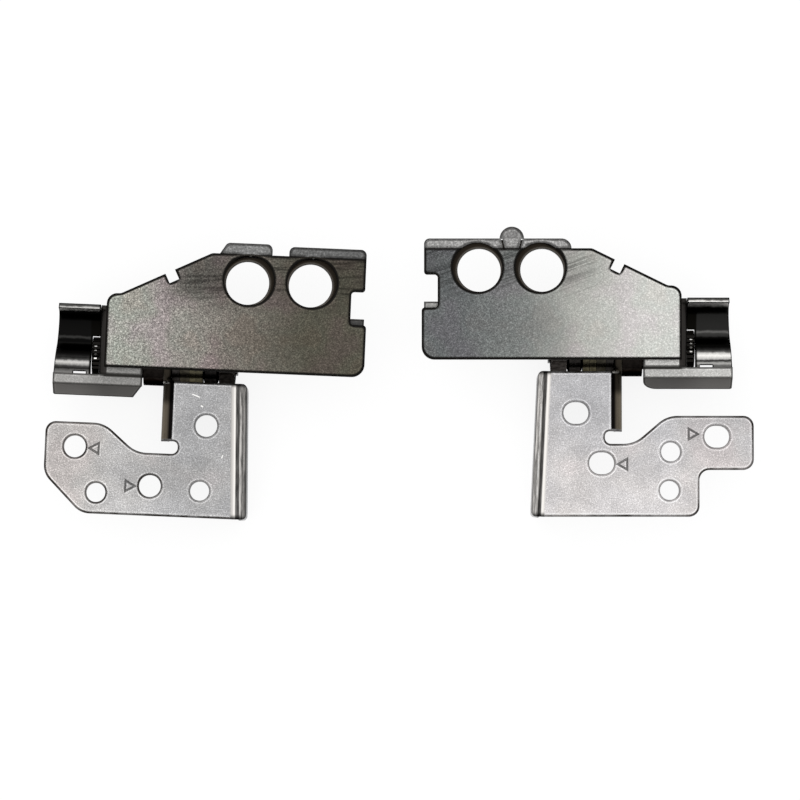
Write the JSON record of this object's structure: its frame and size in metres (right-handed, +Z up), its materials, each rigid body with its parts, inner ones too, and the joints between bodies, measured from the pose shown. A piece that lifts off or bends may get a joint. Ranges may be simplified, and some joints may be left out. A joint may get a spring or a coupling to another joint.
{
  "type": "laptop hinge pair",
  "caption": "Pair of laptop friction hinges lying flat open: folded base bracket with screw holes, dark lid plate with large round holes, pin and washer stack, cable trough at the outer end.",
  "frame": {"origin": "middle of the pair's bounding box, on the surface that the brackets' flanges stand on", "axes": "+X from the left hinge to the right hinge, +Y from the base brackets to the lid plates, +Z up, towards the outer faces of the plates"},
  "size_m": [0.0886, 0.0364, 0.0092],
  "materials": {
    "lid_steel": "black nickel, blasted",
    "carrier_steel": "nickel, satin",
    "guide_black": "black nickel, glossy",
    "base_nickel": "nickel, satin",
    "pin_steel": "blackened, oiled",
    "washer_black": "blackened",
    "washer_steel": "blackened",
    "washer_brass": "oiled brass",
    "spring_steel": "blackened spring steel",
    "nut_black": "blackened"
  },
  "bodies": {
    "bases": {"left_base_bracket": "base_nickel", "right_base_bracket": "base_nickel"},
    "left_lid": {"left_lid_plate": "lid_steel", "left_lid_carrier": "carrier_steel", "left_cable_guide": "guide_black", "left_pin_shaft": "pin_steel", "left_ear_washer": "washer_black", "left_thrust_washer": "washer_steel", "left_brass_washers": "washer_brass", "left_disc_springs": "spring_steel", "left_lock_nut": "nut_black"},
    "right_lid": {"right_lid_plate": "lid_steel", "right_lid_carrier": "carrier_steel", "right_cable_guide": "guide_black", "right_pin_shaft": "pin_steel", "right_ear_washer": "washer_black", "right_thrust_washer": "washer_steel", "right_brass_washers": "washer_brass", "right_disc_springs": "spring_steel", "right_lock_nut": "nut_black"}
  },
  "joints": [
    {"name": "left_lid_turn", "type": "hinge", "parent": "bases", "child": "left_lid", "pos_m": [-0.03666, 0.00231, 0.0036], "axis": [-0.9991, 0.0419, 0], "range_deg": [0, 180]},
    {"name": "right_lid_turn", "type": "hinge", "parent": "bases", "child": "right_lid", "pos_m": [0.03524, 0.00321, 0.0036], "axis": [-1, 0, 0], "range_deg": [0, 180]}
  ]
}
